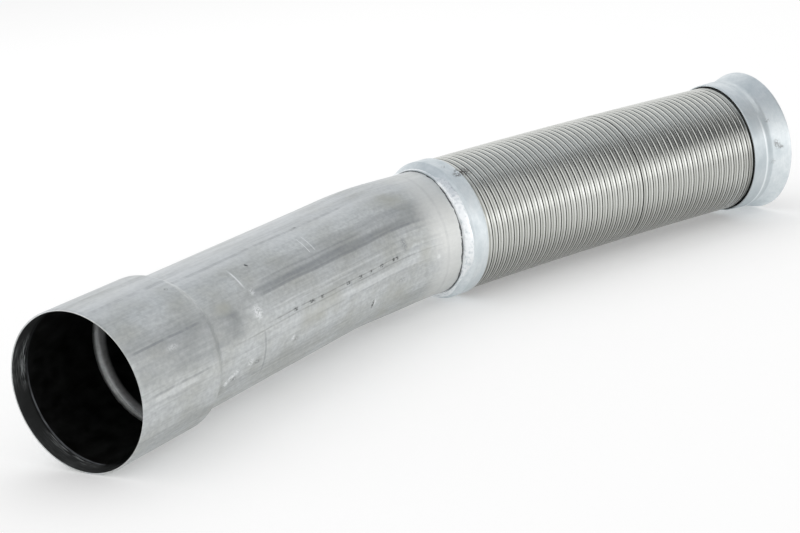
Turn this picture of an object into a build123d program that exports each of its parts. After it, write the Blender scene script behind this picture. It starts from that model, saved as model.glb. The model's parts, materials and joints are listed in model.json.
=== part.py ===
from build123d import *
from math import cos, pi, sqrt
import os

# An exhaust pipe for a truck: a swaged steel tube with a gentle bend, and a stripwound hose whose far end
# is held in a flared ferrule. Lengths are in millimetres. The pieces are built along the pipe: x runs from
# the middle of the mouth along the inlet's axis, and the bend turns towards -y. At the end all of it is
# laid on its three widest rings.

# Front pipe, one welded tube: its mouth is widened into a socket that slips over another pipe
pipe_radius = 59.5
pipe_wall = 1.5
socket_growth = 5.75
socket_length = 92.0
neck_length = 10.0
neck_fillet = 8.0
inlet_length = 321.0
bend_radius = 420.0
bend_angle = 19.0
bend_oval = 1.8
bend_spans = 8
weld_to_bend = 5.5

# Front collar: a lip on the pipe, a cone, and a band over the end of the hose
collar_wall = 1.25
collar_lip = 2.0
collar_cone = 7.0
collar_band = 16.0
collar_room = 3.0

# Weld bead between the pipe and the collar's lip
bead_radius = 3.6
bead_lift = 0.4
bead_flats = 6

# Stripwound hose: each turn of the strip shows as one band, and the bands lean to and fro to keep an edge
strip_height = 5.25
strip_pitch = 6.86
strip_relief = 0.75
turns = 52
bore_spans = 10
hose_set_radius = 2300.0
pipe_overlap = 5.0

# Rear ferrule: a lip round the hose, a crest, a neck and a flared rim
ferrule_wall = 1.5
ferrule_overlap = 14.0
crest_run = 17.3
crest_rise = 0.7
neck_run = 7.0
neck_drop = 1.3
flare_run = 20.0
flare_rise = 6.3
rim_trim = 4.0

# Rear sleeve: a flanged ring inside the hose that closes the gap between the hose and the ferrule
sleeve_wall = 1.2
sleeve_length = 25.0

# Clearances: parts pressed or welded together, the hose on what it slips over, its ends, the ferrule's mouth
seat_gap = 0.1
slip_gap = 0.4
end_gap = 0.3
lip_gap = 0.85

# Sizes that follow from the ones above
socket_radius = pipe_radius + socket_growth
hose_bore_radius = pipe_radius + slip_gap
hose_radius = hose_bore_radius + strip_height
collar_radius = hose_radius + slip_gap + collar_wall
lip_radius = pipe_radius + seat_gap + collar_wall
collar_length = collar_lip + collar_cone + collar_band
hose_in_collar = collar_band - collar_room
pipe_tail = weld_to_bend + collar_length + pipe_overlap
hose_length = hose_in_collar + turns * strip_pitch + ferrule_overlap
hose_start = weld_to_bend + collar_length - hose_in_collar
ferrule_radius = hose_radius + lip_gap + ferrule_wall
crest_radius = ferrule_radius + crest_rise
neck_radius = crest_radius - neck_drop
rim_radius = neck_radius + flare_rise
rim_place = crest_run + neck_run + flare_run - ferrule_overlap

# Places along the pipe: after the bend, at the collar's lip, and along the hose, which lies with a slight set
after_bend = (
    Pos(inlet_length, -bend_radius, 0)
    * Rot(0, 0, -bend_angle)
    * Pos(0, bend_radius, 0)
)
at_collar = after_bend * Pos(weld_to_bend, 0, 0)


def along_hose(distance):
    """the frame on the hose's axis at a distance from its front end"""
    turned = distance / hose_set_radius * 180 / pi
    hub = after_bend * Pos(hose_start, -hose_set_radius, 0)
    return hub * Rot(0, 0, -turned) * Pos(0, hose_set_radius, 0)


at_hose_end = along_hose(hose_length)


def tube(outer, wall, start, end):
    """a straight tube along x"""
    section = Polyline((start, outer), (end, outer), (end, outer - wall), (start, outer - wall), close=True)
    return revolve(make_face(section), Axis.X)


def pressed_ring(outline, wall):
    """a ring of sheet metal: its outer line thickened inwards and turned about x"""
    section = offset(outline, amount=wall, side=Side.RIGHT, kind=Kind.INTERSECTION)
    return revolve(make_face(section.edges()), Axis.X)


def ring_disc(place, radius):
    """a round section across the axis at a place"""
    return place * (Plane.YZ * Circle(radius))


def oval_bend(radius):
    """a solid bend whose round section grows a little taller than wide towards its middle"""
    sections = []
    for span in range(bend_spans + 1):
        share = span / bend_spans
        oval = bend_oval * (1 - cos(2 * pi * share)) / 2
        place = Pos(inlet_length, -bend_radius, 0) * Rot(0, 0, -bend_angle * share) * Pos(0, bend_radius, 0)
        sections.append(place * (Plane.YZ * Ellipse(radius - oval, radius + oval)))
    return loft(sections, ruled=True)


def front_pipe():
    """the swaged socket, its neck, the straight run, the bend and the tail that the hose slips over"""
    outline = FilletPolyline(
        (0, socket_radius),
        (socket_length, socket_radius),
        (socket_length + neck_length, pipe_radius),
        (inlet_length, pipe_radius),
        radius=(neck_fillet, neck_fillet),
    )
    inlet = pressed_ring(outline, pipe_wall)
    bend = oval_bend(pipe_radius) - oval_bend(pipe_radius - pipe_wall)
    return inlet + bend + after_bend * tube(pipe_radius, pipe_wall, 0, pipe_tail)


def collar_outline(spare=0):
    """the collar's outer line from its lip to its edge, or one that stands off it by a spare"""
    return Polyline(
        (-spare, lip_radius + spare),
        (collar_lip, lip_radius + spare),
        (collar_lip + collar_cone, collar_radius + spare),
        (collar_length, collar_radius + spare),
    )


def front_collar():
    """the pressed collar that closes over the front end of the hose"""
    return at_collar * pressed_ring(collar_outline(), collar_wall)


def weld_bead():
    """the weld run in the corner between the pipe and the collar's lip"""
    outline = collar_outline(seat_gap)
    below = Polyline(outline @ 1, (collar_length, 0), (-seat_gap, 0), outline @ 0)
    collar_form = make_face([*outline.edges(), *below.edges()])
    pipe_form = Rectangle(4 * bead_radius, 2 * (pipe_radius + seat_gap))
    section = Pos(0, lip_radius + bead_lift) * RegularPolygon(bead_radius, bead_flats) - pipe_form - collar_form
    return at_collar * revolve(section, Axis.X)


def strip_hose():
    """the hose: plain ends, and one band a turn that leans to or fro, laid along the hose's set"""
    edges = [hose_in_collar + turn * strip_pitch for turn in range(turns + 1)]
    radii = [hose_radius - strip_relief * (turn % 2) for turn in range(turns + 1)]
    stations = [(0, hose_radius), *zip(edges, radii), (hose_length, hose_radius)]
    bore_places = [hose_length * span / bore_spans for span in range(bore_spans + 1)]
    outside = loft([ring_disc(along_hose(place), radius) for place, radius in stations], ruled=True)
    inside = loft([ring_disc(along_hose(place), hose_bore_radius) for place in bore_places], ruled=True)
    return outside - inside


def rear_ferrule():
    """the pressed ferrule: lip, band, crest, neck and flare, with the rim trimmed square to the axis"""
    crest_place = crest_run - ferrule_overlap
    outline = Polyline(
        (-ferrule_overlap, ferrule_radius),
        (crest_place, crest_radius),
        (crest_place + neck_run, neck_radius),
        (rim_place + rim_trim, rim_radius + rim_trim * flare_rise / flare_run),
    )
    trim = Plane.YZ.offset(rim_place)
    return at_hose_end * split(pressed_ring(outline, ferrule_wall), bisect_by=trim, keep=Keep.BOTTOM)


def rear_sleeve():
    """the flanged ring: its tube lies in the hose and its flange meets the inside of the ferrule's band"""
    outer = hose_bore_radius - slip_gap
    inner = outer - sleeve_wall
    flange_back = end_gap + sleeve_wall
    band_slope = crest_rise / crest_run
    flange = ferrule_radius - ferrule_wall + band_slope * (ferrule_overlap + end_gap) - seat_gap
    section = Polyline(
        (-sleeve_length, outer),
        (end_gap, outer),
        (end_gap, flange),
        (flange_back, flange),
        (flange_back, inner),
        (-sleeve_length, inner),
        close=True,
    )
    return at_hose_end * revolve(make_face(section), Axis.X)


def laid_down(rings):
    """the move that lays three rings on a level floor, each taken as a ball of the ring's radius"""
    (mouth, mouth_radius), (middle, middle_radius), (rim, far_radius) = rings
    across, along = middle - mouth, rim - mouth
    up = along.cross(across)
    rise_across, rise_along = middle_radius - mouth_radius, far_radius - mouth_radius
    size = across.dot(across) * along.dot(along) - across.dot(along) ** 2
    share_across = (rise_across * along.dot(along) - rise_along * across.dot(along)) / size
    share_along = (rise_along * across.dot(across) - rise_across * across.dot(along)) / size
    lean = across * share_across + along * share_along
    normal = lean + up * (sqrt(1 - lean.dot(lean)) / up.length)
    return Plane(origin=(0, 0, 0), x_dir=(1, 0, 0), z_dir=normal).location.inverse()


resting_rings = [
    (Vector(0, 0, 0), socket_radius),
    (Vector((at_collar * Pos(collar_lip + collar_cone, 0, 0)).position), collar_radius),
    (Vector((at_hose_end * Pos(rim_place, 0, 0)).position), rim_radius),
]
lay = laid_down(resting_rings)

pieces = {
    "front_pipe": front_pipe(),
    "weld_bead": weld_bead(),
    "front_collar": front_collar(),
    "strip_hose": strip_hose(),
    "rear_ferrule": rear_ferrule(),
    "rear_sleeve": rear_sleeve(),
}

os.makedirs("parts", exist_ok=True)
for name, piece in pieces.items():
    export_step(lay * piece, f"parts/{name}.step")
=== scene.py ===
import json
from math import cos, degrees, pi, radians, sin

import bmesh
import bpy
import numpy as np
from bpy.props import FloatProperty, FloatVectorProperty, PointerProperty
from mathutils import Matrix, Vector


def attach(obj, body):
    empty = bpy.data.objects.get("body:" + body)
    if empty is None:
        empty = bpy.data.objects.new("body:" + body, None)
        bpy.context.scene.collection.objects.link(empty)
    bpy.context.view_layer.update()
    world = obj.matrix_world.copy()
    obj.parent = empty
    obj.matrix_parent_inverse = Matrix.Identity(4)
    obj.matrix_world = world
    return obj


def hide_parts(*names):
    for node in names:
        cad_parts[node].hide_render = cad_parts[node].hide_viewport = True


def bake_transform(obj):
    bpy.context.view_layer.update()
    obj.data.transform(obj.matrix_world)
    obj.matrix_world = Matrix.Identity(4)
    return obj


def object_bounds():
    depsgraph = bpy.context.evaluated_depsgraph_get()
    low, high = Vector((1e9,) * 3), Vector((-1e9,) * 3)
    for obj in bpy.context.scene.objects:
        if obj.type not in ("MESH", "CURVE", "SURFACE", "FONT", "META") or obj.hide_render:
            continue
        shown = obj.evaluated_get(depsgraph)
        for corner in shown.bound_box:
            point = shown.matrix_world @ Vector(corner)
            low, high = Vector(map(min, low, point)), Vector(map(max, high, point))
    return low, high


bl_info = {
    "name": "Exhaust pipe",
    "version": (1, 0, 0),
    "blender": (4, 5, 0),
    "location": "3D View > Sidebar > Exhaust pipe",
    "description": "Dresses a bent exhaust pipe with a stripwound hose: steel, weld, plating and strip",
    "category": "Object",
}

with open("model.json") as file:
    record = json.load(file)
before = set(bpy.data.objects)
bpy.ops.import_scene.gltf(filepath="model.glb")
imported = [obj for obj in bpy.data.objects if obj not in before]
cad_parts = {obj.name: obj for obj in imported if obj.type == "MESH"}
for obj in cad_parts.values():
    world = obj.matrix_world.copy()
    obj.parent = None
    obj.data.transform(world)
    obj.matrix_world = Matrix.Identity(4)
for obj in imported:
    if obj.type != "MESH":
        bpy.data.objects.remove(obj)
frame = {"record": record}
cad_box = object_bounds()

MM = 0.001
PIPE_BODY, FLANGE_BODY = "pipe", "flange_end"
# The attribute that keeps each point's place on the pipe as it would be if it were straight
STRAIGHTENED = "straightened"
# Points closer than this are one, and edges sharper than this stay sharp
WELD_DISTANCE = 0.001 * MM
SHARP = radians(50)
# How far apart the points of a pressed sheet's outline are at most
SHEET_STEP = 3 * MM
# Where the middle point of a rounded edge lies, as a share of the two steps beside it
EDGE_CUT = 0.29
# The turn of the strip that stands a little open, its wider gap given in painted shade, counted from the
# hose's front end
OPEN_GAP = 32.0


def length(name, description, millimetres):
    """a length that the sidebar shows, given in millimetres"""
    return FloatProperty(
        name=name, description=description, default=millimetres * MM, unit="LENGTH", precision=5
    )


def angle(name, description, turned):
    """an angle that the sidebar shows, given in degrees"""
    return FloatProperty(name=name, description=description, default=radians(turned), unit="ROTATION")


def linear(code):
    """a linear colour from an sRGB hex code"""
    shares = [part / 255 for part in bytes.fromhex(code)]
    return tuple(share / 12.92 if share <= 0.04045 else ((share + 0.055) / 1.055) ** 2.4 for share in shares)


def colour(name, description, code):
    """a colour that the sidebar shows, given as an sRGB hex code"""
    return FloatVectorProperty(
        name=name, description=description, default=linear(code), size=3, min=0.0, max=1.0, subtype="COLOR"
    )


# Sizes


class PipeSizes(bpy.types.PropertyGroup):
    """The front pipe: socket, neck, straight run, bend and tail"""

    radius: length("Radius", "Outside radius of the tube", 59.5)
    wall: length("Wall", "Thickness of the tube's steel", 1.5)
    socket_growth: length("Socket growth", "How much the socket's radius exceeds the tube's", 5.75)
    socket_length: length("Socket length", "From the mouth to the neck", 92.0)
    neck_length: length("Neck length", "Length of the neck's slope", 10.0)
    neck_fillet: length("Neck fillet", "Rounding at both ends of the neck", 7.0)
    inlet_length: length("Inlet length", "From the mouth to the start of the bend", 321.0)
    bend_radius: length("Bend radius", "Radius of the bend's centreline", 420.0)
    bend_angle: angle("Bend angle", "How far the tube turns", 19.0)
    bend_oval: length("Bend oval", "How much taller than round the bend is in its middle", 1.8)
    tail_length: length("Tail length", "From the end of the bend to the tube's end", 35.5)
    rim_round: length("Rim rounding", "Rounding of the sawn ends", 0.45)
    step_place: length("Sizing step", "Depth of the sizing step inside the mouth", 16.5)
    step_depth: length("Sizing step depth", "How far the step is pressed out", 0.35)
    tool_mark_place: length("Tool mark", "Where a forming tool left a ring on the tube", 158.8)
    tool_mark_angle: angle("Tool mark's angle", "Where that ring is deepest, from the top", -43.0)
    seam_angle: angle("Seam angle", "Where the tube's weld seam lies, from the top", -88.5)


class CollarSizes(bpy.types.PropertyGroup):
    """The front collar: lip, cone and band"""

    to_lip: length("Lip's place", "From the end of the bend to the collar's lip", 5.5)
    lip_radius: length("Lip radius", "Outside radius of the lip", 60.85)
    lip_length: length("Lip length", "Length of the lip on the pipe", 2.0)
    cone_length: length("Cone length", "Length of the cone", 7.0)
    band_radius: length("Band radius", "Outside radius of the band over the hose", 66.8)
    band_length: length("Band length", "Length of the band", 16.0)
    wall: length("Wall", "Thickness of the pressed steel", 1.25)
    fillet: length("Fillet", "Rounding of the creases", 2.6)
    edge_round: length("Edge rounding", "Rounding of the band's edge", 0.4)


class BeadSizes(bpy.types.PropertyGroup):
    """The weld bead between the pipe and the collar"""

    toe: length("Toe", "How far the bead reaches onto the pipe from the lip", 0.9)
    reach: length("Reach", "How far the bead reaches onto the cone from the lip", 7.0)
    low_reach: length("Low reach", "How far it reaches where little metal was laid", 3.2)
    low_top: angle("Low at the top", "Half the angle at the top where little metal was laid", 26.0)
    low_side: angle("Low at the side", "Where else little metal was laid, from the top", -138.0)
    lift: length("Lift", "Height of the bead over the cone", 0.35)
    ripple_pitch: length("Ripple pitch", "Distance between the ripples along the bead", 4.2)
    ripple_height: length("Ripple height", "Height of the ripples", 0.1)
    wander: length("Wander", "How far the bead's edges wander", 0.7)
    crack: length("Toe gap", "Width of the dark gap at the bead's toe", 1.3)


class HoseSizes(bpy.types.PropertyGroup):
    """The stripwound hose"""

    to_start: length("Start", "From the end of the bend to the hose's front end", 17.5)
    length: length("Length", "Length of the hose", 383.72)
    radius: length("Radius", "Outside radius over the crowns", 65.15)
    bore_radius: length("Bore radius", "Inside radius", 59.9)
    pitch: length("Pitch", "Distance between the turns of the strip", 6.86)
    groove: length("Groove", "Depth of the gap between two turns", 0.95)
    dish: length("Dish", "How far the middle of each turn lies below its edges", 0.07)
    start_angle: angle("Start angle", "Where the first turn of the strip begins, from the bottom", 128.0)


class FerruleSizes(bpy.types.PropertyGroup):
    """The rear ferrule: lip, crest, neck and flare"""

    overlap: length("Overlap", "How far the ferrule reaches over the hose", 14.0)
    lip_radius: length("Lip radius", "Outside radius of the lip", 67.5)
    crest_run: length("Crest's place", "From the lip's edge to the crest", 17.3)
    crest_rise: length("Crest rise", "How much the crest's radius exceeds the lip's", 0.7)
    neck_run: length("Neck run", "From the crest to the neck", 7.0)
    neck_drop: length("Neck drop", "How much the radius falls to the neck", 1.3)
    flare_run: length("Flare run", "From the neck to the rim", 20.0)
    flare_rise: length("Flare rise", "How much the radius grows to the rim", 6.3)
    wall: length("Wall", "Thickness of the pressed steel", 1.5)
    crest_fillet: length("Crest fillet", "Rounding of the crest", 1.2)
    flare_fillet: length("Flare fillet", "Rounding where the flare begins", 9.0)
    edge_round: length("Edge rounding", "Rounding of both edges", 0.5)


class SleeveSizes(bpy.types.PropertyGroup):
    """The flanged sleeve inside the hose's rear end"""

    radius: length("Radius", "Outside radius of the tube part", 59.5)
    flange_radius: length("Flange radius", "Outside radius of the flange", 66.45)
    length: length("Length", "How far the sleeve reaches into the hose", 25.0)
    wall: length("Wall", "Thickness of the pressed steel", 1.2)
    gap: length("Gap", "Between the hose's end and the flange", 0.3)
    fillet: length("Fillet", "Rounding between tube and flange", 1.6)
    edge_round: length("Edge rounding", "Rounding of both edges", 0.3)


class Finishes(bpy.types.PropertyGroup):
    """Colours of the surfaces"""

    steel: colour("Steel", "Aluminised steel", "dadddd")
    steel_bloom: colour("Steel, bloom", "Parts of the steel with a warm bloom", "bfc0b9")
    # Also painted shade: a dark reflection over the socket and a line beside the tool's ring
    steel_streak: colour("Steel, streaks", "Dark drawing marks along the tube", "8d9195")
    # Also painted highlights: a band along the top, the tool's ring and the lower part of the bore's neck
    steel_bright: colour("Steel, bright", "Rubbed and struck places", "f0f2f3")
    seam_dark: colour("Seam", "The seam's dark line and specks", "3c3d3e")
    heat_pale: colour("Heat bloom", "Pale bloom of the coating beside the weld", "eaebe9")
    # Painted shade: the tube's inside is painted near black
    bore_painted_shade: colour("Bore", "Dull inside of the tube", "0a0908")
    bore_rubbed: colour("Bore, rubbed", "Rubbed places just inside the mouth", "b4b8b9")
    # Also the painted highlight on the ferrule's crest
    weld_bright_and_highlight: colour("Weld metal", "Weld metal", "f8fbfd")
    weld_oxide: colour("Weld oxide", "Oxide in the ripples and at the toe", "34363b")
    zinc: colour("Zinc", "Zinc plating", "eef3f5")
    zinc_cloud: colour("Zinc, clouded", "Duller clouds in the plating", "cfd8dc")
    # Painted shade in rings on the ferrule's band and neck
    zinc_painted_shade: colour("Zinc, shaded", "Dull rings of the plating", "a3adb2")
    smudge: colour("Smudge", "Dark handling smudges", "4a4441")
    strip: colour("Strip", "Stainless strip", "cbcdc8")
    strip_tint: colour("Strip, tinted", "Duller parts of the strip", "b1b3ac")
    # Painted highlight on each turn's rolled edge and far side
    strip_edge_highlight: colour("Strip edge", "Burnished rolled edge of each turn", "eeefec")
    # Painted shade: the gaps between the turns, a line inside each turn, the low side and the ring under the
    # ferrule's lip; it also darkens the far half
    strip_painted_shade: colour("Strip gaps", "Shadowed gaps between the turns", "2b2a27")


class StageSettings(bpy.types.PropertyGroup):
    """Camera, light and floor"""

    camera_place: FloatVectorProperty(
        name="Camera place", description="Where the camera stands", default=(-0.91917, -0.90738, 0.40689),
        subtype="TRANSLATION", unit="LENGTH",
    )
    camera_heading: angle("Camera heading", "Direction of view from +X towards +Y", 33.424)
    camera_dip: angle("Camera dip", "How far the view points down", 14.893)
    camera_roll: angle("Camera roll", "Roll of the camera", -6.255)
    camera_lens: length("Lens", "Focal length of the camera", 80.064)
    daylight: FloatProperty(name="Daylight", description="Strength of the light from all round", default=0.86)
    floor_size: length("Floor", "Side of the floor", 14000.0)
    floor_white: colour("Floor", "Colour of the floor", "e2e2e2")
    floor_glow: FloatProperty(name="Floor lift", description="Lifts the lit floor to white", default=0.26)
    roof_tint: colour("Roof", "Colour of the cards overhead", "f4f9ff")


GROUPS = {
    "exhaust_pipe": PipeSizes,
    "exhaust_collar": CollarSizes,
    "exhaust_bead": BeadSizes,
    "exhaust_hose": HoseSizes,
    "exhaust_ferrule": FerruleSizes,
    "exhaust_sleeve": SleeveSizes,
    "exhaust_finish": Finishes,
    "exhaust_stage": StageSettings,
}


# The pipe's line and the meshes that follow it


class PipeLine:
    """the centreline from the mouth to the rim: runs and arcs in the plane that the two mounts give"""

    def __init__(self, scene):
        pipe, hose = scene.exhaust_pipe, scene.exhaust_hose
        mounts = {mount["name"]: mount for mount in frame["record"]["mounts"]}
        forward = -Vector(mounts["inlet"]["axis"]).normalized()
        outward = Vector(mounts["outlet_face"]["axis"]).normalized()
        up = outward.cross(forward).normalized()
        self.start = np.array(mounts["inlet"]["pos_m"])
        self.forward, self.up, self.side = np.array(forward), np.array(up), np.array(up.cross(forward))
        self.bend_start = pipe.inlet_length
        self.bend_length = pipe.bend_radius * pipe.bend_angle
        self.bend_end = self.bend_start + self.bend_length
        self.bend_oval = pipe.bend_oval
        self.hose_start = self.bend_end + hose.to_start
        self.hose_end = self.hose_start + hose.length
        self.runs = (
            (pipe.inlet_length, 0.0),
            (self.bend_length, pipe.bend_angle),
            (hose.to_start, 0.0),
            (hose.length, forward.angle(outward) - pipe.bend_angle),
            (hose.length, 0.0),
        )

    def at(self, along):
        """centres and side directions at places along the line"""
        flat = np.zeros(along.shape + (2,))
        heading = np.zeros(along.shape)
        here, faced, start = np.zeros(2), 0.0, 0.0
        for run, turn in self.runs:
            share = (along - start) / run
            ahead = run * np.sinc(turn * share / pi) * share
            aside = -run * np.sinc(turn * share / (2 * pi)) * share * np.sin(turn * share / 2)
            ways = np.array([[cos(faced), -sin(faced)], [sin(faced), cos(faced)]])
            inside = along >= start
            moved = here + np.stack((ahead, aside), -1) @ ways
            flat[inside], heading[inside] = moved[inside], (faced + turn * share)[inside]
            full = np.array([run * np.sinc(turn / pi), -run * np.sinc(turn / (2 * pi)) * sin(turn / 2)])
            here, faced, start = here + full @ ways, faced + turn, start + run
        centre = self.start + flat[..., :1] * self.forward + flat[..., 1:] * self.side
        side = np.sin(heading)[..., None] * self.forward + np.cos(heading)[..., None] * self.side
        return centre, side

    def oval(self, along):
        """how much taller than round the tube is at places along the line"""
        share = np.clip((along - self.bend_start) / self.bend_length, 0.0, 1.0)
        return self.bend_oval * (1 - np.cos(2 * pi * share)) / 2


def grid_faces(rows, columns, shift=0, closed=False):
    """quads between the rows of a grid whose last column meets the first one, `shift` rows further on"""
    row, column = np.meshgrid(np.arange(rows if closed else rows - 1), np.arange(columns), indexing="ij")
    wrap = np.where(column == columns - 1, shift, 0)
    corners = np.stack((
        row * columns + column,
        (row + 1) * columns + column,
        (row + 1 + wrap) * columns + (column + 1) % columns,
        (row + wrap) * columns + (column + 1) % columns,
    ), -1).reshape(-1, 4)
    if closed:
        return corners % (rows * columns)
    return corners[(corners.min(1) >= 0) & (corners.max(1) < rows * columns)]


def round_turns(columns):
    """angles from the top, evenly spaced all the way round"""
    return np.linspace(-pi, pi, columns, endpoint=False)


def skin(name, line, *grids):
    """a piece from grids of (along, radius, faces) rings round the line, two of them joined at their ends"""
    points, straight, faces, starts = [], [], [], [0]
    for along, radius, quads in grids:
        columns = along.shape[1]
        turn = round_turns(columns)
        centre, side = line.at(along)
        oval = line.oval(along)
        across, upward = (radius - oval) * np.sin(turn), (radius + oval) * np.cos(turn)
        points.append((centre + side * across[..., None] + line.up * upward[..., None]).reshape(-1, 3))
        straight.append(np.stack((along, radius * np.sin(turn), radius * np.cos(turn)), -1).reshape(-1, 3))
        faces.append(quads + starts[-1])
        starts.append(starts[-1] + along.size)
    if len(grids) == 2:
        here = np.arange(columns)
        ahead = (here + 1) % columns
        for outer, inner in ((0, starts[1]), (starts[1] - columns, starts[2] - columns)):
            faces.append(np.stack((outer + here, outer + ahead, inner + ahead, inner + here), -1))
    mesh = bpy.data.meshes.new(name)
    mesh.from_pydata(np.concatenate(points).tolist(), [], np.concatenate(faces).tolist())
    place = mesh.attributes.new(STRAIGHTENED, "FLOAT_VECTOR", "POINT")
    place.data.foreach_set("vector", np.concatenate(straight).astype(np.float32).ravel())
    shape = bmesh.new()
    shape.from_mesh(mesh)
    bmesh.ops.remove_doubles(shape, verts=shape.verts, dist=WELD_DISTANCE)
    bmesh.ops.dissolve_degenerate(shape, edges=shape.edges, dist=WELD_DISTANCE)
    bmesh.ops.recalc_face_normals(shape, faces=shape.faces)
    shape.to_mesh(mesh)
    shape.free()
    mesh.shade_smooth()
    mesh.set_sharp_from_angle(angle=SHARP)
    piece = bpy.data.objects.new(name, mesh)
    bpy.context.scene.collection.objects.link(piece)
    return piece


def rounded(corners, fillet, steps=7):
    """a line through corners of (along, radius), each inner corner rounded by its fillet"""
    line = [corners[0]]
    for place in range(1, len(corners) - 1):
        corner = Vector(corners[place])
        back, ahead = Vector(corners[place - 1]) - corner, Vector(corners[place + 1]) - corner
        open_angle = back.angle(ahead)
        trim = min(fillet[place - 1] / np.tan(open_angle / 2), 0.48 * back.length, 0.48 * ahead.length)
        start, end = corner + back.normalized() * trim, corner + ahead.normalized() * trim
        for step in range(steps + 1):
            share = step / steps
            line.append(tuple(start * (1 - share) ** 2 + corner * 2 * share * (1 - share) + end * share ** 2))
    line.append(corners[-1])
    return np.array(line)


def spaced(line, gap):
    """the same line with points added so that none are further apart than a gap"""
    points = [line[0]]
    for start, end in zip(line, line[1:]):
        parts = max(1, int(np.ceil(np.linalg.norm(end - start) / gap)))
        points += [start + (end - start) * part / parts for part in range(1, parts + 1)]
    return np.array(points)


def sheet_section(line, wall, edge):
    """the closed section of pressed sheet: its outer line, the inner one a wall below, and rounded edges"""
    way = np.gradient(line, axis=0)
    way /= np.linalg.norm(way, axis=1)[:, None]
    inward = np.stack((way[:, 1], -way[:, 0]), -1)
    inner = line + inward * wall
    first, last, down, far_down = way[0] * edge, way[-1] * edge, inward[0] * edge, inward[-1] * edge
    ends = (
        (line[0], down, first), (line[-1], -last, far_down),
        (inner[-1], -far_down, -last), (inner[0], first, -down),
    )
    near, far, far_inner, near_inner = (
        [end + back, end + (back + ahead) * EDGE_CUT, end + ahead] for end, back, ahead in ends
    )
    return np.concatenate((near, line[1:-1], far, far_inner, inner[-2:0:-1], near_inner))


def ring_grid(section, place, columns):
    """a closed section of (along, radius) points as a grid round the line"""
    along = np.repeat(section[:, :1] + place, columns, axis=1)
    radius = np.repeat(section[:, 1:], columns, axis=1)
    return along, radius, grid_faces(len(section), columns, closed=True)


def pressed_ring(name, line, place, outline, sizes, columns):
    """a piece of pressed sheet: its rounded outline, thickened by its wall and turned about the line"""
    section = sheet_section(spaced(outline, SHEET_STEP), sizes.wall, sizes.edge_round)
    return skin(name, line, ring_grid(section, place, columns))


def hill(distance, width):
    """a smooth hill of height 1, which falls to about a third at its width"""
    return np.exp(-(distance / width) ** 2)


def dress(piece, material, node, body=None):
    """gives a piece its material and slot, and lets it stand for its node"""
    piece.data.materials.append(material)
    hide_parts(node)
    if body:
        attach(piece, body)


# Materials


def add(tree, kind, inputs=None, **settings):
    """adds a node with its settings, and sets or links its inputs, given by name or number"""
    made = tree.nodes.new(kind)
    for setting, value in settings.items():
        setattr(made, setting, value)
    for place, value in (inputs or {}).items():
        value = value.socket if isinstance(value, Value) else value
        if isinstance(value, bpy.types.NodeSocket):
            tree.links.new(value, made.inputs[place])
        else:
            made.inputs[place].default_value = value
    return made


class Value:
    """what a node gives at each point of a surface, with the sums that further nodes do on it"""

    def __init__(self, socket):
        self.socket = socket

    def through(self, kind, inputs=None, **settings):
        """the first output of an added node whose first input is this value"""
        return Value(add(self.socket.id_data, kind, {0: self, **(inputs or {})}, **settings).outputs[0])

    def __add__(self, other):
        return self.through("ShaderNodeMath", {1: other}, operation="ADD")

    def __sub__(self, number):
        return self + -number

    def __mul__(self, other):
        return self.through("ShaderNodeMath", {1: other}, operation="MULTIPLY")

    def __abs__(self):
        return self.through("ShaderNodeMath", operation="ABSOLUTE")

    def near(self, centre, half, soft):
        """1 within half a width of a centre, falling to 0 over a soft edge"""
        fall = {1: half, 2: half + soft, 3: 1.0, 4: 0.0}
        return abs(self - centre).through("ShaderNodeMapRange", fall, interpolation_type="SMOOTHSTEP")


class Surface:
    """a material in the making: places in millimetres along the pipe and in degrees round it, and a colour"""

    def __init__(self, scene, name, metallic, roughness, tone):
        self.tones = scene.exhaust_finish
        self.material = bpy.data.materials.new(name)
        self.material.use_nodes = True
        self.tree = self.material.node_tree
        self.shader = self.tree.nodes["Principled BSDF"]
        self.shader.inputs["Metallic"].default_value = metallic
        self.shader.inputs["Roughness"].default_value = roughness
        place = add(self.tree, "ShaderNodeAttribute", attribute_name=STRAIGHTENED)
        self.place = Value(place.outputs["Vector"])
        along, across, up = add(self.tree, "ShaderNodeSeparateXYZ", {0: self.place}).outputs
        self.along = Value(along) * (1 / MM)
        self.around = Value(across).through("ShaderNodeMath", {1: up}, operation="ARCTAN2") * degrees(1)
        self.colour = (*getattr(self.tones, tone), 1.0)

    def grain(self, stretch, detail, low, high):
        """noise from 0 to 1 at a size in millimetres for each direction: along, across, up"""
        scale = tuple(1 / (size * MM) for size in stretch)
        stretched = self.place.through("ShaderNodeVectorMath", {1: scale}, operation="MULTIPLY")
        noise = stretched.through("ShaderNodeTexNoise", {"Scale": 1.0, "Detail": detail})
        return noise.through("ShaderNodeMapRange", {1: low, 2: high})

    def spot(self, radius, place, angle_round, half_length, half_width):
        """1 in the middle of a mark on a tube of some radius, and 0 outside it"""
        reach = (self.along - place) * (1 / half_length)
        aside = (self.around - angle_round) * (radians(radius / MM) / half_width)
        way = add(self.tree, "ShaderNodeCombineXYZ", {0: reach, 1: aside}).outputs[0]
        away = add(self.tree, "ShaderNodeVectorMath", {0: way}, operation="LENGTH").outputs["Value"]
        return Value(away).near(0.0, 0.2, 0.8)

    def paint(self, tone, share):
        """lays one of the finishes' colours over what is there, by a share"""
        layers = {0: share, 6: self.colour, 7: (*getattr(self.tones, tone), 1.0)}
        self.colour = add(self.tree, "ShaderNodeMix", layers, data_type="RGBA").outputs[2]

    def link(self, name, value):
        """joins a value to a socket of the shader"""
        self.tree.links.new(value.socket, self.shader.inputs[name])

    def relief(self, height, distance, strength):
        """gives the surface fine relief, its height in millimetres"""
        heights = {"Strength": strength, "Distance": distance * MM, "Height": height}
        self.link("Normal", Value(add(self.tree, "ShaderNodeBump", heights).outputs[0]))

    def done(self):
        """the finished material"""
        self.link("Base Color", Value(self.colour))
        return self.material


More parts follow.
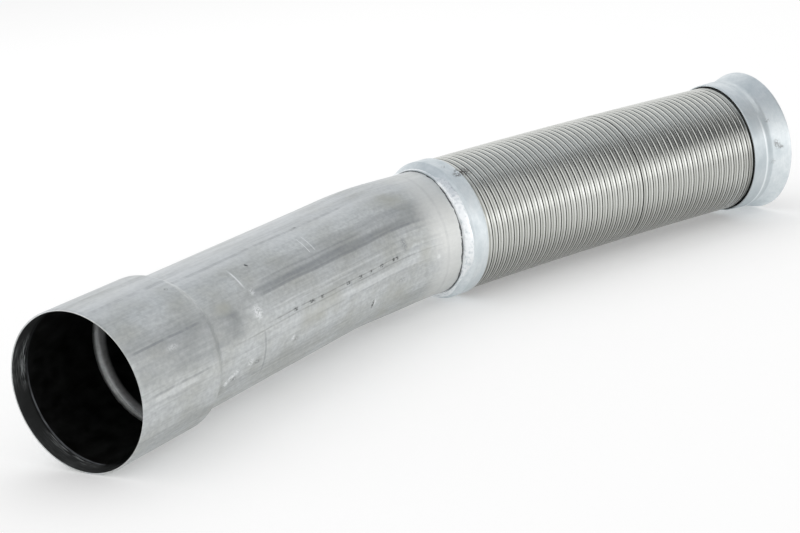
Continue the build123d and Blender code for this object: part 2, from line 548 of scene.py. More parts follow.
# Colours of the marks on the steel, and of the painted highlights and painted shade among them
STREAK_AND_SHADE, BLOOM, BRIGHT_AND_HIGHLIGHT, DARK = "steel_streak", "steel_bloom", "steel_bright", "seam_dark"

# Drawing lines on the tube, with a partly painted highlight along the top and a painted dark reflection over
# the socket: angle, half width in degrees, start and end in millimetres, colour, strength
DRAWN_LINES = (
    # A pale band along the top, partly the coating's own and partly a painted highlight
    (4.0, 22, -60, 520, BRIGHT_AND_HIGHLIGHT, 0.62),
    (-60.0, 2.6, 150, 450, STREAK_AND_SHADE, 0.50),
    (-53.0, 6.0, 170, 440, STREAK_AND_SHADE, 0.34),
    (-63.0, 0.7, 165, 425, STREAK_AND_SHADE, 0.40),
    # A painted dark reflection over the socket's near side
    (-72.0, 11.0, -30, 150, STREAK_AND_SHADE, 0.34),
    (-61.8, 0.5, 0, 90, STREAK_AND_SHADE, 0.55),
    (-52.5, 0.4, 175, 330, STREAK_AND_SHADE, 0.30),
    (-20.5, 0.9, 0, 345, STREAK_AND_SHADE, 0.26),
    (-95.5, 1.9, 160, 440, BRIGHT_AND_HIGHLIGHT, 0.30),
    (-98.3, 0.4, 225, 425, STREAK_AND_SHADE, 0.30),
    (-93.0, 0.4, 0, 85, STREAK_AND_SHADE, 0.35),
    (-96.0, 1.0, 8, 70, BRIGHT_AND_HIGHLIGHT, 0.25),
    (-76.5, 0.35, 165, 352, BRIGHT_AND_HIGHLIGHT, 0.25),
    (-80.0, 0.3, 168, 300, BRIGHT_AND_HIGHLIGHT, 0.2),
)
# From this half width on, in degrees, a line is soft and patchy
WIDE_LINE = 1.5

# Burnt specks on the seam: place and half length in millimetres
SEAM_SPECKS = (
    (205, 2.5), (229, 3.5), (244, 2), (284, 3), (303, 2.5), (320, 1.5), (340, 3), (362, 2), (368, 2),
)

# Knocks and smudges on the tube: place, angle, half length, half width, colour, strength
TUBE_MARKS = (
    (128, -73, 24, 18, STREAK_AND_SHADE, 0.55),
    (150, -63, 14, 9, STREAK_AND_SHADE, 0.5),
    (122, -60, 16, 8, BLOOM, 0.9),
    (60, -68, 30, 22, STREAK_AND_SHADE, 0.35),
    (400, -52, 30, 14, STREAK_AND_SHADE, 0.35),
    (402, -38, 26, 22, BLOOM, 0.9),
    (405, -90, 32, 26, BLOOM, 0.9),
    (250, -98, 60, 20, BLOOM, 0.7),
    (395, -66, 14, 9, "weld_oxide", 0.16),
    (388, -98, 22, 12, STREAK_AND_SHADE, 0.35),
    (365, -128, 40, 26, BLOOM, 0.8),
    (345, -60, 30, 20, BLOOM, 0.5),
    (110, -118, 5, 4, BRIGHT_AND_HIGHLIGHT, 0.9),
    (116, -115, 6, 4, BRIGHT_AND_HIGHLIGHT, 1.0),
    (122, -112, 5, 3, BRIGHT_AND_HIGHLIGHT, 0.9),
    (119, -117, 5, 3, DARK, 0.5),
    (149, -112, 10, 3, DARK, 0.4),
    (141, -110, 7, 5, BRIGHT_AND_HIGHLIGHT, 0.7),
    (202, -110, 7, 3, DARK, 0.4),
    (199, -108, 5, 4, BRIGHT_AND_HIGHLIGHT, 0.7),
    (325, -118, 3.0, 6, DARK, 0.9),
    (329, -117, 2.2, 6, BRIGHT_AND_HIGHLIGHT, 0.9),
    (374, -107, 11, 3, DARK, 0.3),
    (384, -78, 6, 9, STREAK_AND_SHADE, 0.6),
    (431, -99, 4, 3, BRIGHT_AND_HIGHLIGHT, 0.9),
    (158, -74, 8, 9, BRIGHT_AND_HIGHLIGHT, 1.0),
    (163, -58, 5, 5, BRIGHT_AND_HIGHLIGHT, 0.6),
    (180, -36, 2.4, 3.0, DARK, 1.0),
    (46, -69, 10, 3, BRIGHT_AND_HIGHLIGHT, 0.4),
    (270, -20, 5, 1.5, DARK, 0.5),
    (83, -29, 3, 1.6, DARK, 0.5),
)
# Above this half length, in millimetres, a mark is a smudge and not a knock
SMUDGE_LENGTH = 13

# Handling marks on the plating: place, angle, half length, half width, strength
COLLAR_MARKS = ((487, -35, 8, 5, 0.8), (490, -31, 6, 4, 0.7), (482, -22, 5, 3, 0.3))
FERRULE_MARKS = (
    (881, -89, 3.5, 3, 0.55), (877, -86, 5, 7, 0.5), (871, -101, 5, 4, 0.4), (873, -64, 5, 3, 0.4),
)
# The rubbed smudge on the hose by the collar: place, angle, half length, half width
HOSE_SMUDGE = (496, -33, 12, 8)

# Rings of painted shade and a painted highlight on the ferrule's band, neck and crest: place, half width and
# soft edge in millimetres, colour, strength
FERRULE_PAINTED_LIGHT = (
    (854, 8, 2, "zinc_painted_shade", 0.38),
    (868.5, 2.6, 2, "zinc_painted_shade", 0.4),
    (863.2, 0.4, 0.8, "weld_bright_and_highlight", 0.6),
)


def aluminised_steel(scene):
    """Hot-dipped aluminised steel, drawn and seam-welded: matte and mottled, with drawing lines along it"""
    pipe = scene.exhaust_pipe
    steel = Surface(scene, "aluminised_steel", 1.0, 0.5, "steel")
    along, around = steel.along, steel.around
    bloom = steel.grain((45, 28, 28), 4, 0.40, 0.66)
    drawn = steel.grain((120, 2.2, 2.2), 4, 0.32, 0.68)
    short = steel.grain((26, 1.3, 1.3), 3, 0.38, 0.72)
    broad = steel.grain((260, 11, 11), 2, 0.35, 0.65)
    mottle = steel.grain((4, 3, 3), 6, 0.32, 0.68)
    steel.paint(BLOOM, bloom * 0.55)
    for share in (drawn * broad * 0.34, short * 0.14, mottle * 0.24):
        steel.paint(STREAK_AND_SHADE, share)

    # Drawing lines, with the bands of painted highlight and painted dark reflection among them, run along the
    # whole tube and waver a little
    sway = around + steel.grain((90, 400, 400), 2, 0.3, 0.7) * 1.4
    worn = steel.grain((12, 60, 60), 3, 0.30, 0.52)
    patchy = steel.grain((90, 9, 9), 5, 0.15, 0.62)
    for turn, half, start, end, tone, strength in DRAWN_LINES:
        soft, fade, broken = (half, 32, patchy) if half > WIDE_LINE else (half / 2, 12, worn)
        line = sway.near(turn + 0.7, half, 0.5 + soft)
        run = along.near((start + end) / 2, (end - start) / 2 - fade, fade)
        steel.paint(tone, line * run * broken * strength)

    # The seam: two thin dark lines where the coating was welded through, with burnt specks on them
    seam = degrees(pipe.seam_angle)
    upper = sway.near(seam + 0.2, 0.2, 0.7) * (along.near(275, 110, 70) * 0.6 + 0.4)
    steel.paint(DARK, upper * (worn * 0.20 + 0.04))
    steel.paint(DARK, sway.near(seam + 3.7, 0.25, 0.5) * along.near(270, 95, 12) * worn * 0.3)
    burnt = sway.near(seam + 3.0, 0.8, 1.0)
    ragged = steel.grain((1.6, 1.2, 1.2), 3, 0.40, 0.52)
    for speck, half in SEAM_SPECKS:
        steel.paint(DARK, burnt * along.near(speck, half / 2, half) * ragged * 0.7)

    # Smudges are broken up as the bloom is, and knocks raggedly, as on rubbed metal
    for *mark, tone, strength in TUBE_MARKS:
        broken = bloom if mark[2] > SMUDGE_LENGTH else ragged
        steel.paint(tone, steel.spot(pipe.radius, *mark) * broken * strength)

    # The pale bloom that the collar's weld burnt into the coating, stronger on the near side as a painted
    # highlight, with a faint ring where it ends
    lip = (PipeLine(scene).bend_end + scene.exhaust_collar.to_lip) / MM
    heat = (along + bloom * 9).near(lip, 16, 36)
    steel.paint("heat_pale", heat * (around.near(-75, 35, 55) * 0.4 + 0.38))
    steel.paint(STREAK_AND_SHADE, along.near(lip - 20.5, 0.5, 2.4) * patchy * 0.12)

    # The ring that a forming tool struck, with a painted highlight over a short arc and a painted shade line
    # beside it, and a pair of short scratches
    struck, deepest = pipe.tool_mark_place / MM, degrees(pipe.tool_mark_angle)
    steel.paint(BRIGHT_AND_HIGHLIGHT, along.near(struck - 0.8, 0.5, 0.9) * around.near(deepest, 4, 8) * 0.9)
    steel.paint(STREAK_AND_SHADE, along.near(struck + 1.2, 0.4, 1.2) * around.near(-108, 10, 16) * 0.4)
    scratched = around.near(-41, 7, 2) * 0.85
    for scratch in (255.0, 262.5):
        steel.paint(BRIGHT_AND_HIGHLIGHT, along.near(scratch, 0.2, 0.5) * scratched)
    steel.link("Roughness", (mottle + broad) * 0.06 + 0.50)
    steel.relief(drawn * 0.6 + short + mottle * 1.4, 0.05, 0.6)
    return steel.done()


def bore_in_painted_shade(scene):
    """The tube's inside: steel painted near black as painted shade, rubbed bare at the mouth and on the
    neck's slope
    """
    pipe = scene.exhaust_pipe
    bore = Surface(scene, "bore_in_painted_shade", 0.0, 0.4, "bore_painted_shade")
    bore.shader.inputs["Specular IOR Level"].default_value = 0.12
    along, around = bore.along, bore.around
    cloud = bore.grain((14, 9, 9), 4, 0.35, 0.75)
    bore.paint("bore_rubbed", cloud * 0.03)

    # Another pipe has rubbed the mouth as far as the sizing step, most of all near the step's edge
    worn = bore.grain((0.9, 9, 9), 6, 0.44, 0.64)
    step = pipe.step_place / MM
    mouth = along.near(0.0, 0.75 * step, 0.25 * step)
    low = around.near(152, 16, 16)
    rub = around.near(72, 6, 20) + low * 0.25
    scraped = along.near(12.5, 1.5, 3) + low * along.near(15, 1, 1.2) * 3
    bore.paint("bore_rubbed", mouth * (rub * worn * (scraped * 1.1 + 0.3) + 0.08))
    edge = around.near(135, 25, 45) * (worn * 0.6 + 0.4) + 0.12
    bore.paint(STREAK_AND_SHADE, along.near(step, 0.4, 0.8) * edge)

    # The neck's steep slope is bare metal and mirrors the daylight at the mouth, with a painted highlight on
    # its lower part
    socket = pipe.socket_length / MM
    neck = along.near(socket + 13, 10.6, 0.7) * along.near(socket - 8, 12.5, 7)
    streaks = bore.grain((60, 3, 3), 3, 0.3, 0.7)
    bore.paint(BRIGHT_AND_HIGHLIGHT, neck * (streaks * 0.2 + abs(around).near(180, 25, 60) * 0.2 + 0.7))
    bore.link("Metallic", neck)
    bore.relief(cloud, 0.1, 0.5)
    return bore.done()


def weld_metal(scene):
    """Weld metal as it cooled: bright, pitted and smooth, and rough where the run ended"""
    weld = Surface(scene, "weld_metal", 1.0, 0.36, "zinc_cloud")
    weld.paint("weld_bright_and_highlight", weld.grain((2.6, 3.4, 3.4), 4, 0.25, 0.50))
    stop = weld.around.near(-44, 9, 7)
    spatter = weld.grain((1.1, 1.5, 1.5), 3, 0.50, 0.60)
    weld.paint("smudge", spatter * stop * 0.12)
    rough = weld.grain((1.8, 2.0, 2.0), 4, 0.2, 0.8)
    weld.relief(rough * (stop * 0.16 + 0.02), 0.4, 0.8)
    return weld.done()


def weld_toe(scene):
    """The oxidised steel in the gap at the bead's toe: dark and dull, with paler grains"""
    toe = Surface(scene, "weld_toe", 0.0, 0.6, "weld_oxide")
    toe.paint(STREAK_AND_SHADE, toe.grain((1.2, 1.6, 1.6), 3, 0.40, 0.66) * 0.8)
    return toe.done()


def zinc_plate(scene, name, marks, painted_rings=(), dark_end=0.0):
    """Zinc plating on pressed steel: pale blue and satin, with duller clouds, a few handling marks and any
    rings of painted shade and highlight
    """
    zinc = Surface(scene, name, 1.0, 0.5, "zinc")
    cloud = zinc.grain((14, 20, 20), 5, 0.35, 0.7)
    fine = zinc.grain((3, 4, 4), 4, 0.35, 0.68)
    turned = zinc.grain((0.9, 60, 60), 2, 0.3, 0.7)
    for share in (cloud * 0.6, fine * 0.35, turned * 0.2):
        zinc.paint("zinc_cloud", share)
    blot = zinc.grain((1.8, 2.2, 2.2), 4, 0.42, 0.56)
    for *mark, strength in marks:
        zinc.paint("smudge", zinc.spot(scene.exhaust_collar.band_radius, *mark) * blot * strength)
    # Rings of painted shade and highlight, on the near and low side only
    side = zinc.around.near(-118, 42, 28)
    for place, half, soft, tone, strength in painted_rings:
        zinc.paint(tone, zinc.along.near(place, half, soft) * side * strength)

    # The edge at the weld's gap is burnt dark
    zinc.paint("weld_oxide", zinc.along.near(dark_end - 20, 20, 0.5))
    zinc.link("Roughness", cloud * 0.14 + 0.46)
    zinc.relief(cloud + fine + turned * 0.4, 0.04, 0.6)
    return zinc.done()


def stainless_strip(scene):
    """Cold-rolled stainless strip, folded and wound: satin, with rolling lines along it and dark gaps"""
    hose, line = scene.exhaust_hose, PipeLine(scene)
    strip = Surface(scene, "stainless_strip", 1.0, 0.25, "strip")
    along, around = strip.along, strip.around
    start, end = line.hose_start / MM, line.hose_end / MM
    turns = (along - start) * (MM / hose.pitch) + around * (1 / 360) + hose.start_angle / (2 * pi)
    number = turns.through("ShaderNodeMath", operation="FLOOR")
    across = turns.through("ShaderNodeMath", operation="FRACT")
    shade = add(strip.tree, "ShaderNodeTexWhiteNoise", {"W": number}, noise_dimensions="1D").outputs[0]
    rolled = strip.grain((0.6, 26, 26), 3, 0.3, 0.7)
    cloud = strip.grain((50, 30, 30), 4, 0.38, 0.66)
    fine = strip.grain((2.2, 5, 5), 4, 0.36, 0.66)
    strip.paint("strip_tint", cloud * 0.40 + Value(shade) * 0.28 + fine * 0.22)
    strip.paint("strip_tint", rolled * 0.35)

    # Painted shade darkens the low side, and the far half is a little darker where it faces forwards
    strip.paint("strip_painted_shade", abs(around).near(180, 52, 30) * 0.54)
    far = along.through("ShaderNodeMapRange", {1: 640.0, 2: 820.0})
    strip.paint("strip_painted_shade", far * around.near(-85, 14, 14) * 0.2)

    # Each turn gets a painted highlight at its rolled edge and at its far side, and a painted shade line
    # between them, darker where the highlight runs
    strip.paint("strip_painted_shade", across.near(0.43, 0.05, 0.13) * (around.near(-76, 14, 18) * 0.22 + 0.12))
    strip.paint("strip_edge_highlight", (across.near(0.21, 0.02, 0.06) + across.near(0.74, 0.05, 0.16)) * 0.65)

    # A rubbed smudge by the collar, and a straw tint on the last turns
    ragged = strip.grain((1.6, 2.0, 2.0), 4, 0.40, 0.54)
    strip.paint("smudge", strip.spot(hose.radius, *HOSE_SMUDGE) * ragged * 0.9)
    strip.paint("smudge", along.near(end, 16, 14) * (around.near(-118, 22, 25) * 0.25 + 0.08))

    # Painted shade in the gaps beside each turn's sheet, in the one gap that stands open, and under the
    # ferrule's lip
    strip.paint("strip_painted_shade", across.near(0.54, 0.405, 0.035) * -1 + 1)
    strip.paint("strip_painted_shade", number.near(OPEN_GAP, 0.1, 0.1) * across.near(0.0, 0.16, 0.04) * 0.92)
    strip.paint("strip_painted_shade", along.near(end - 12.4, 2.6, 0.6) * 0.85)
    strip.link("Roughness", (rolled + shade) * 0.055 + 0.23)
    strip.relief(rolled + fine, 0.025, 0.6)
    return strip.done()


def sleeve_steel(scene):
    """Aluminised steel of the sleeve: the tube's coating, duller, with drawing lines round the flange"""
    steel = Surface(scene, "sleeve_steel", 1.0, 0.48, STREAK_AND_SHADE)
    cloud = steel.grain((12, 14, 14), 4, 0.35, 0.7)
    drawn = steel.grain((0.9, 40, 40), 3, 0.35, 0.65)
    steel.paint("steel", cloud * 0.6)
    steel.paint(STREAK_AND_SHADE, drawn * 0.3)
    steel.relief(cloud + drawn, 0.05, 0.5)
    return steel.done()


# Pieces


class EXHAUST_OT_front_pipe(bpy.types.Operator):
    """Builds the front pipe: socket, neck, straight run, bend and tail, with its seam and tool marks"""

    bl_idname = "exhaust.front_pipe"
    bl_label = "Front pipe"

    def execute(self, context):
        scene = context.scene
        pipe, line, columns = scene.exhaust_pipe, PipeLine(scene), 192
        end, neck = line.bend_end + pipe.tail_length, pipe.socket_length
        socket, neck_end = pipe.radius + pipe.socket_growth, neck + pipe.neck_length
        outline = spaced(rounded(
            [(0, socket), (neck, socket), (neck_end, pipe.radius), (end, pipe.radius)],
            (pipe.neck_fillet, pipe.neck_fillet),
        ), 4 * MM)

        # More points where the tool's ring and the neck need them
        by_tool, by_neck = np.linspace(-4, 4, 17) * MM, np.linspace(-1, 11, 13) * MM
        added = np.append(pipe.tool_mark_place + by_tool, neck + by_neck)
        more = np.stack((added, np.interp(added, *outline.T)), -1)
        outline = np.array(sorted([*outline.tolist(), *more.tolist()]))
        section = sheet_section(outline, pipe.wall, pipe.rim_round)
        along, radius, quads = ring_grid(section, 0.0, columns)
        turn = round_turns(columns)
        outside = section[:, 1:] > np.interp(section[:, :1], outline[:, 0], outline[:, 1]) - pipe.wall / 2

        # The struck ring, the seam's low ridge, and the tube's slight waves
        struck_depth, seam_height, wave_height = 0.18 * MM, 0.05 * MM, 0.12 * MM
        deep = 0.8 * hill(turn - pipe.tool_mark_angle, radians(9))
        shallow = 0.12 * hill(turn - radians(-100), radians(40))
        struck = hill(along - pipe.tool_mark_place, 1.3 * MM) * (deep + shallow)
        seam = hill((turn - pipe.seam_angle) * pipe.radius, 1.6 * MM) * (along > 2 * MM)
        wave = np.sin(along * 31 + 2 * turn) * np.sin(along * 13 - 3 * turn + 1) * (along > neck_end)
        radius = radius + outside * (seam_height * seam - struck_depth * struck) + wave_height * wave

        # Inside, the sizing step, and the neck, which starts steeply and eases into the tube's bore
        pressed = hill(along - pipe.step_place, 1.0 * MM) + (along < pipe.step_place) * 0.6
        radius = radius + np.where(outside, 0, pipe.step_depth * 0.6 * pressed)
        fall = 1 - (1 - np.clip((along - neck - 2 * MM) / pipe.neck_length, 0, 1)) ** 1.8
        near_neck = ~outside & (np.abs(along - neck) < 1.5 * pipe.neck_length)
        radius = np.where(near_neck, socket - pipe.wall - pipe.socket_growth * fall, radius)
        piece = skin("front_pipe_steel", line, (along, radius, quads))
        dress(piece, aluminised_steel(scene), "front_pipe", PIPE_BODY)
        piece.data.materials.append(bore_in_painted_shade(scene))
        self.darken_bore(piece, pipe)
        return {"FINISHED"}

    def darken_bore(self, piece, pipe):
        """gives the faces that look at the centreline the bore's painted shade"""
        mesh = piece.data
        straight = np.zeros(len(mesh.vertices) * 3)
        mesh.attributes[STRAIGHTENED].data.foreach_get("vector", straight)
        along, across, up = straight.reshape(-1, 3).T
        neck = [pipe.socket_length, pipe.socket_length + pipe.neck_length]
        outer = np.interp(along, neck, [pipe.radius + pipe.socket_growth, pipe.radius])
        inner = np.hypot(across, up) < outer - pipe.wall * 0.7
        for face in mesh.polygons:
            face.material_index = int(all(inner[vertex] for vertex in face.vertices))


class EXHAUST_OT_weld_bead(bpy.types.Operator):
    """Builds the weld bead between the pipe and the collar's cone, with the dark gap at its toe"""

    bl_idname = "exhaust.weld_bead"
    bl_label = "Weld bead"

    def execute(self, context):
        scene = context.scene
        bead, pipe, collar = scene.exhaust_bead, scene.exhaust_pipe, scene.exhaust_collar
        line, columns, points = PipeLine(scene), 480, 12
        place = line.bend_end + collar.to_lip
        turn = round_turns(columns)
        slow = np.sin(3 * turn + 1) * 0.5 + np.sin(7 * turn + 2) * 0.3 + np.sin(19 * turn) * 0.25
        quick = np.sin(43 * turn + 2 * np.sin(5 * turn)) * 0.2 + np.sin(71 * turn + np.sin(9 * turn)) * 0.12

        # Little metal was laid at the top and low on the near side
        top = np.clip((np.abs(turn) - bead.low_top) / radians(9), 0, 1)
        full = np.minimum(top, 1 - hill(turn - bead.low_side, radians(20)))

        # The run's surface from its toe to its reach on the cone
        share = np.linspace(0, 1, points)[:, None]
        ripples = round(2 * pi * pipe.radius / bead.ripple_pitch)
        ripple = np.cos(ripples * turn + 4 * (share - 0.4) ** 2 + 2 * slow) * np.sin(pi * share)
        toe = (bead.toe + bead.wander * (slow + 0.5 * quick)) * full - 0.4 * bead.toe * (1 - full)
        reach = bead.low_reach + (bead.reach - bead.low_reach) * full + bead.wander * slow * full
        slope = (collar.band_radius - collar.lip_radius) / collar.cone_length
        cone = collar.lip_radius + slope * (reach - collar.lip_length)
        rise = np.sin(pi / 2 * share) ** 0.62
        along = place - toe + (toe + reach) * share
        toe_height, ring_height, end_height, clearance = 0.25 * MM, 0.12 * MM, 1.12 * MM, 0.05 * MM
        low = pipe.radius + toe_height
        radius = low + (cone - low + (2 * full - 1) * bead.lift) * rise + bead.ripple_height * full * ripple

        # The gap before the toe is a thin ring on the pipe, and the underside closes the section
        gap = place - toe - bead.crack * (0.75 + 0.35 * np.sin(11 * turn + 3 * slow) + 0.6 * quick)
        ring, end, under = (
            np.full(columns, pipe.radius + height) for height in (ring_height, end_height, clearance)
        )
        along = np.vstack((gap, place - toe, along, place + reach, place + reach))
        radius = np.vstack((ring, ring, radius, end, under))
        piece = skin("weld_bead_metal", line, (along, radius, grid_faces(len(along), columns, closed=True)))
        dress(piece, weld_metal(scene), "weld_bead", PIPE_BODY)
        piece.data.materials.append(weld_toe(scene))
        # The first two rows of faces are the gap
        for face in piece.data.polygons[:2 * columns]:
            face.material_index = 1
        return {"FINISHED"}


class EXHAUST_OT_front_collar(bpy.types.Operator):
    """Builds the plated collar over the front end of the hose"""

    bl_idname = "exhaust.front_collar"
    bl_label = "Front collar"

    def execute(self, context):
        scene = context.scene
        collar, line = scene.exhaust_collar, PipeLine(scene)
        lip, band, cone_end = collar.lip_radius, collar.band_radius, collar.lip_length + collar.cone_length
        outline = rounded(
            [(0, lip), (collar.lip_length, lip), (cone_end, band), (cone_end + collar.band_length, band)],
            (collar.fillet / 2, collar.fillet),
        )
        place = line.bend_end + collar.to_lip
        piece = pressed_ring("front_collar_plate", line, place, outline, collar, 192)
        material = zinc_plate(scene, "collar_zinc", COLLAR_MARKS, dark_end=place / MM - 0.25)
        dress(piece, material, "front_collar", PIPE_BODY)
        return {"FINISHED"}


class EXHAUST_OT_strip_hose(bpy.types.Operator):
    """Builds the hose as one folded strip wound in a helix"""

    bl_idname = "exhaust.strip_hose"
    bl_label = "Strip hose"

    def execute(self, context):
        scene = context.scene
        hose, line, columns = scene.exhaust_hose, PipeLine(scene), 128
        # Both sides of one turn: shares of its pitch, and heights
        crown = [
            (0.0, -hose.groove), (0.06, -hose.groove), (0.09, -0.55 * MM), (0.15, -0.26 * MM),
            (0.23, -0.08 * MM), (0.32, 0.0), (0.46, -hose.dish), (0.6, -0.6 * hose.dish), (0.78, 0.0),
            (0.93, -0.16 * MM),
        ]
        bore = [(0.0, 0.35 * MM), (0.1, 0.0), (0.9, 0.0)]
        outside = self.wound(line, hose, columns, crown, hose.radius)
        inside = self.wound(line, hose, columns, bore, hose.bore_radius)
        piece = skin("strip_hose_winding", line, outside, inside)
        dress(piece, stainless_strip(scene), "strip_hose")

        # Finds the centres at the collar's edge and the ferrule's lip; nothing uses them
        collar = scene.exhaust_collar
        collar_edge = line.bend_end + sum(
            (collar.to_lip, collar.lip_length, collar.cone_length, collar.band_length))
        ends = line.at(np.array([collar_edge, line.hose_end - scene.exhaust_ferrule.overlap]))[0]
        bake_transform(piece)
        return {"FINISHED"}

    def wound(self, line, hose, columns, profile, radius):
        """a grid of one strip profile wound in a helix from end to end of the hose"""
        shares, heights = np.array(profile).T
        shares, heights = np.append(shares, 1.0), np.append(heights, heights[0])
        turns = int(np.ceil(hose.length / hose.pitch)) + 3
        phase = np.concatenate([shares[:-1] + turn for turn in range(turns)]) - 1
        column = np.arange(columns) / columns - 0.5 + hose.start_angle / (2 * pi)
        along = np.clip((phase[:, None] - column) * hose.pitch, 0, hose.length)
        height = np.interp((along / hose.pitch + column) % 1.0, shares, heights)
        return line.hose_start + along, radius + height, grid_faces(len(phase), columns, shift=-len(profile))


class EXHAUST_OT_rear_ferrule(bpy.types.Operator):
    """Builds the plated ferrule: lip, crest, neck and flared rim"""

    bl_idname = "exhaust.rear_ferrule"
    bl_label = "Rear ferrule"

    def execute(self, context):
        scene = context.scene
        ferrule, line = scene.exhaust_ferrule, PipeLine(scene)
        crest = (ferrule.crest_run, ferrule.lip_radius + ferrule.crest_rise)
        neck = (crest[0] + ferrule.neck_run, crest[1] - ferrule.neck_drop)
        rim = (neck[0] + ferrule.flare_run, neck[1] + ferrule.flare_rise)
        fillets = (ferrule.crest_fillet, ferrule.flare_fillet)
        outline = rounded([(0, ferrule.lip_radius), crest, neck, rim], fillets, 9)
        place = line.hose_end - ferrule.overlap
        piece = pressed_ring("rear_ferrule_plate", line, place, outline, ferrule, 224)
        material = zinc_plate(scene, "ferrule_zinc", FERRULE_MARKS, FERRULE_PAINTED_LIGHT)
        dress(piece, material, "rear_ferrule", FLANGE_BODY)
        return {"FINISHED"}


class EXHAUST_OT_rear_sleeve(bpy.types.Operator):
    """Builds the flanged sleeve that lines the hose's rear end"""

    bl_idname = "exhaust.rear_sleeve"
    bl_label = "Rear sleeve"

    def execute(self, context):
        scene = context.scene
        sleeve, line = scene.exhaust_sleeve, PipeLine(scene)
        corners = (
            (-sleeve.length, sleeve.radius), (sleeve.gap, sleeve.radius), (sleeve.gap, sleeve.flange_radius)
        )
        outline = rounded(corners, (sleeve.fillet,))
        piece = pressed_ring("rear_sleeve_steel", line, line.hose_end, outline, sleeve, 160)
        dress(piece, sleeve_steel(scene), "rear_sleeve", FLANGE_BODY)
        return {"FINISHED"}


# Stage


def seen_rays(tree):
    """1 for rays from the camera, or from metal or glass, which all see the white background"""
    path = add(tree, "ShaderNodeLightPath").outputs
    rays = Value(path["Is Camera Ray"]) + path["Is Glossy Ray"] + path["Is Transmission Ray"]
    return rays.through("ShaderNodeMath", {1: 1.0}, operation="MINIMUM")


def stage_sheet(name, corners, finish):
    """a flat sheet with four corners and a new material, and that material's nodes"""
    mesh = bpy.data.meshes.new(name)
    mesh.from_pydata(corners, [], [(0, 1, 2, 3)])
    sheet = bpy.data.objects.new(name, mesh)
    bpy.context.scene.collection.objects.link(sheet)
    material = bpy.data.materials.new(finish)
    material.use_nodes = True
    mesh.materials.append(material)
    return sheet, material.node_tree


def card(name, start, end, target, width, tint, strength):
    """a long studio card that only shows in reflections, from a start to an end, facing a target"""
    start, end, target = Vector(start), Vector(end), Vector(target)
    length_way = (end - start).normalized()
    facing = target - (start + end) / 2
    width_way = length_way.cross(facing).normalized() * width / 2
    corners = (start - width_way, end - width_way, end + width_way, start + width_way)
    made, tree = stage_sheet(name, corners, name)
    made.visible_camera = made.visible_diffuse = made.visible_shadow = made.visible_transmission = False
    tree.nodes.remove(tree.nodes["Principled BSDF"])
    glow = add(tree, "ShaderNodeEmission", {"Color": (*tint, 1.0), "Strength": strength})
    tree.links.new(glow.outputs[0], tree.nodes["Material Output"].inputs[0])


def softbox(name, place, target, size, power):
    """a soft studio lamp that faces a target"""
    data = bpy.data.lights.new(name, "AREA")
    data.shape, data.size, data.size_y, data.energy = "RECTANGLE", size[0], size[1], power
    lamp = bpy.data.objects.new(name, data)
    way = (Vector(target) - Vector(place)).to_track_quat("-Z", "Y")
    lamp.matrix_world = Matrix.LocRotScale(Vector(place), way, None)
    bpy.context.scene.collection.objects.link(lamp)
    return lamp


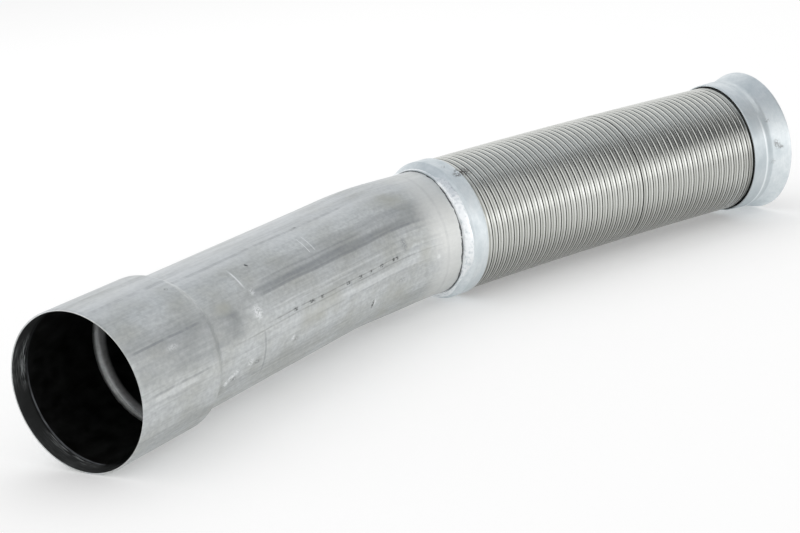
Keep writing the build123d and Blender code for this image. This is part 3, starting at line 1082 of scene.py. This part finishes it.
class EXHAUST_OT_stage(bpy.types.Operator):
    """Sets the white floor, the light and the camera"""

    bl_idname = "exhaust.stage"
    bl_label = "Stage"

    def execute(self, context):
        scene = context.scene
        stage = scene.exhaust_stage
        scene.view_settings.view_transform = "Standard"
        self.sky(scene, stage)
        self.floor(scene, stage)
        middle = (cad_box[0] + cad_box[1]) / 2
        lift = softbox("back_softbox", middle + Vector((0.6, 1.5, 2.6)), middle, (2.6, 2.6), 15.0)
        lift.visible_glossy = False
        softbox("side_softbox", middle + Vector((0.25, -2.0, 0.12)), middle, (1.8, 0.6), 2.9)
        tint = stage.roof_tint
        card("roof_card", (-1.4, -0.1, 1.6), (2.05, -0.1, 1.6), middle, 2.2, tint, 0.62)
        card("back_card", (-0.5, 1.6, 1.6), (1.1, 1.6, 1.6), middle, 1.2, tint, 0.55)
        card("dark_card", (0.84, -0.45, 0.14), (0.91, -0.45, 0.85), (0.6, -0.1, 0.0), 0.2, tint, 0.1)
        card("far_card", (2.6, -1.9, 0.0), (2.5, -1.8, 1.15), (0.2, 0.0, 0.0), 1.4, tint, 0.15)
        self.camera(scene, stage)
        return {"FINISHED"}

    def sky(self, scene, stage):
        """light from all round, and white where the background is seen"""
        world = bpy.data.worlds.new("white_studio")
        world.use_nodes = True
        tree = world.node_tree
        strength = seen_rays(tree).through("ShaderNodeMapRange", {3: stage.daylight, 4: 1.0})
        backdrop = tree.nodes["Background"]
        backdrop.inputs["Color"].default_value = (1.0, 1.0, 1.0, 1.0)
        tree.links.new(strength.socket, backdrop.inputs["Strength"])
        scene.world = world

    def floor(self, scene, stage):
        """a plain white floor at the height of the lowest point, which keeps the object's shadow"""
        half, low = stage.floor_size / 2, cad_box[0].z
        corners = ((-half, -half, low), (half, -half, low), (half, half, low), (-half, half, low))
        floor, tree = stage_sheet("floor", corners, "floor_paper")
        shader = tree.nodes["Principled BSDF"]
        shader.inputs["Base Color"].default_value = (*stage.floor_white, 1.0)
        shader.inputs["Roughness"].default_value = 0.9
        shader.inputs["Specular IOR Level"].default_value = 0.0
        glow = add(tree, "ShaderNodeEmission", {"Strength": seen_rays(tree) * stage.floor_glow})
        both = add(tree, "ShaderNodeAddShader", {0: shader.outputs[0], 1: glow.outputs[0]})
        tree.links.new(both.outputs[0], tree.nodes["Material Output"].inputs[0])

    def camera(self, scene, stage):
        """the camera at the photo's viewing angle"""
        data = bpy.data.cameras.new("camera")
        data.sensor_width, data.lens = 36.0, stage.camera_lens / MM
        data.clip_start, data.clip_end = 0.05, 50.0
        camera = bpy.data.objects.new("camera", data)
        quarter = pi / 2
        turn = (
            Matrix.Rotation(stage.camera_heading - quarter, 4, "Z")
            @ Matrix.Rotation(quarter - stage.camera_dip, 4, "X")
            @ Matrix.Rotation(stage.camera_roll, 4, "Z")
        )
        camera.matrix_world = Matrix.Translation(stage.camera_place) @ turn
        scene.collection.objects.link(camera)
        scene.camera = camera


PIECES = (
    EXHAUST_OT_stage,
    EXHAUST_OT_front_pipe,
    EXHAUST_OT_weld_bead,
    EXHAUST_OT_front_collar,
    EXHAUST_OT_strip_hose,
    EXHAUST_OT_rear_ferrule,
    EXHAUST_OT_rear_sleeve,
)


class EXHAUST_PT_panel(bpy.types.Panel):
    """Lists the sizes, the finishes and the pieces of the exhaust pipe"""

    bl_idname = "EXHAUST_PT_panel"
    bl_label = "Exhaust pipe"
    bl_space_type = "VIEW_3D"
    bl_region_type = "UI"
    bl_category = "Exhaust pipe"

    def draw(self, context):
        for piece in PIECES:
            self.layout.operator(piece.bl_idname)
        for name, group in GROUPS.items():
            box = self.layout.box()
            box.label(text=group.__doc__)
            for size in group.__annotations__:
                box.prop(getattr(context.scene, name), size)


def register():
    """adds the settings, the operators and the panel"""
    for name, group in GROUPS.items():
        bpy.utils.register_class(group)
        setattr(bpy.types.Scene, name, PointerProperty(type=group))
    for entry in (*PIECES, EXHAUST_PT_panel):
        bpy.utils.register_class(entry)


def unregister():
    """takes them away again"""
    for entry in (EXHAUST_PT_panel, *reversed(PIECES)):
        bpy.utils.unregister_class(entry)
    for name, group in reversed(GROUPS.items()):
        delattr(bpy.types.Scene, name)
        bpy.utils.unregister_class(group)


def main():
    """builds the stage and every piece"""
    register()
    for piece in PIECES:
        group, name = piece.bl_idname.split(".")
        getattr(getattr(bpy.ops, group), name)()


if __name__ == "__main__":
    main()
